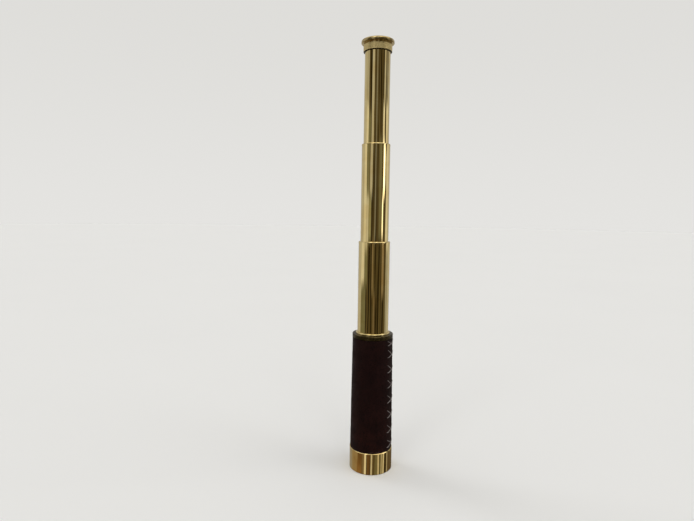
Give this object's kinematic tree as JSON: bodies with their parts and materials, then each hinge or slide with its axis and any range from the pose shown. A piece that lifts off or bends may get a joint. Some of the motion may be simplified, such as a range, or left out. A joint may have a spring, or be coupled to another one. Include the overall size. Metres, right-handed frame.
{
  "type": "draw telescope",
  "caption": "Hand telescope with sliding polished brass draws, a leather-covered barrel with a laced seam, a brass objective ring and a flanged eye cup.",
  "frame": {"origin": "centre of the objective ring's lower face, which it stands on", "axes": "+Z along the optical axis from the objective to the eye; the leather seam lies 21 degrees from +X towards -Y"},
  "size_m": [0.038, 0.038, 0.3733],
  "materials": {
    "polished_brass": "polished and lacquered",
    "ring_brass": "polished, warmer tone",
    "eye_cup_brass": "polished",
    "satin_brass": "satin with fine turning lines",
    "aged_brass": "dark antique",
    "inner_brass": "dull",
    "blackened_brass": "blackened matt",
    "leather": "dark oxblood, soft sheen",
    "thread": "waxed twisted thread",
    "glass": "polished and coated"
  },
  "bodies": {
    "barrel": {"main_barrel": "inner_brass", "leather_sleeve": "leather", "seam_thread": "thread", "barrel_end_ring": "aged_brass", "barrel_guide_bush": "polished_brass", "objective_ring": "ring_brass", "objective_cell": "blackened_brass", "objective_crown_lens": "glass", "objective_spacer": "inner_brass", "objective_flint_lens": "glass", "objective_retaining_ring": "blackened_brass", "barrel_glare_stop": "blackened_brass"},
    "draw_3": {"draw_3_tube": "polished_brass", "draw_3_eye_bush": "polished_brass", "draw_3_slide_ring": "polished_brass"},
    "draw_2": {"draw_2_tube": "polished_brass", "draw_2_eye_bush": "polished_brass", "draw_2_slide_ring": "polished_brass"},
    "draw_1": {"draw_1_tube": "polished_brass", "draw_1_slide_ring": "polished_brass", "erector_tube": "blackened_brass", "erector_front_lens": "glass", "erector_front_ring": "blackened_brass", "erector_stop": "blackened_brass", "erector_rear_lens": "glass", "erector_rear_ring": "blackened_brass", "eyepiece_ring": "satin_brass", "eye_cup": "eye_cup_brass", "eyepiece_tube": "blackened_brass", "field_lens": "glass", "field_lens_ring": "blackened_brass", "field_stop": "blackened_brass", "eye_lens": "glass", "eye_lens_ring": "blackened_brass"}
  },
  "joints": [
    {"name": "draw_3_slide", "type": "slide", "parent": "barrel", "child": "draw_3", "axis": [0, 0, -1], "range_m": [0, 0.0776]},
    {"name": "draw_2_slide", "type": "slide", "parent": "draw_3", "child": "draw_2", "axis": [0, 0, -1], "range_m": [0, 0.0813]},
    {"name": "draw_1_slide", "type": "slide", "parent": "draw_2", "child": "draw_1", "axis": [0, 0, -1], "range_m": [0, 0.0758]}
  ]
}
